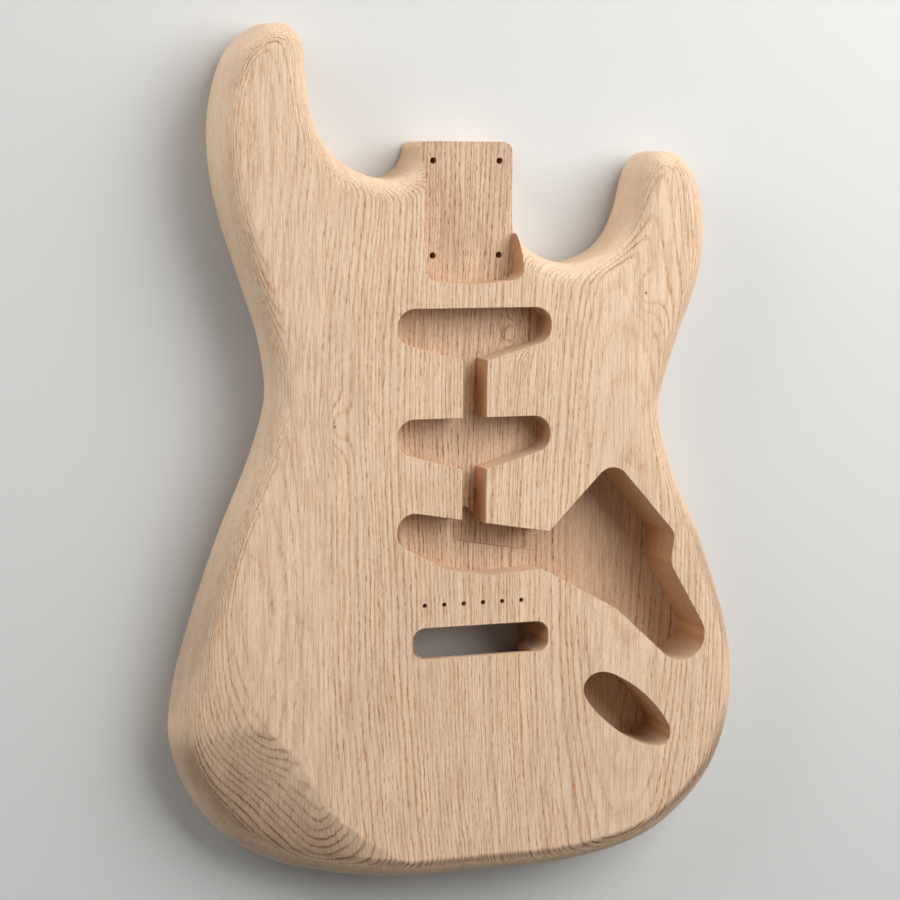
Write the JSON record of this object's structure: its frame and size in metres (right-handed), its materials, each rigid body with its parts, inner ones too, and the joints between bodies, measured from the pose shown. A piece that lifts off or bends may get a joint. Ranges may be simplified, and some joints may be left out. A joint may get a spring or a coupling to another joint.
{
  "type": "electric guitar body",
  "caption": "Bare double-cutaway solid guitar body in pale open-grained wood, contoured and cut out for a bolt-on neck, pickups, controls, an oval jack plate and a spring tremolo.",
  "frame": {"origin": "Centre of the four neck bolts, on the back face. The body lies on its back.", "axes": "+Z out of the top face, +Y towards the neck, +X to the treble side"},
  "size_m": [0.3236, 0.4632, 0.0445],
  "materials": {
    "bass_side_ash": "bare, sanded",
    "treble_side_ash": "bare, sanded"
  },
  "bodies": {
    "root": {"bass_side_board": "bass_side_ash", "treble_side_board": "treble_side_ash"}
  },
  "joints": []
}
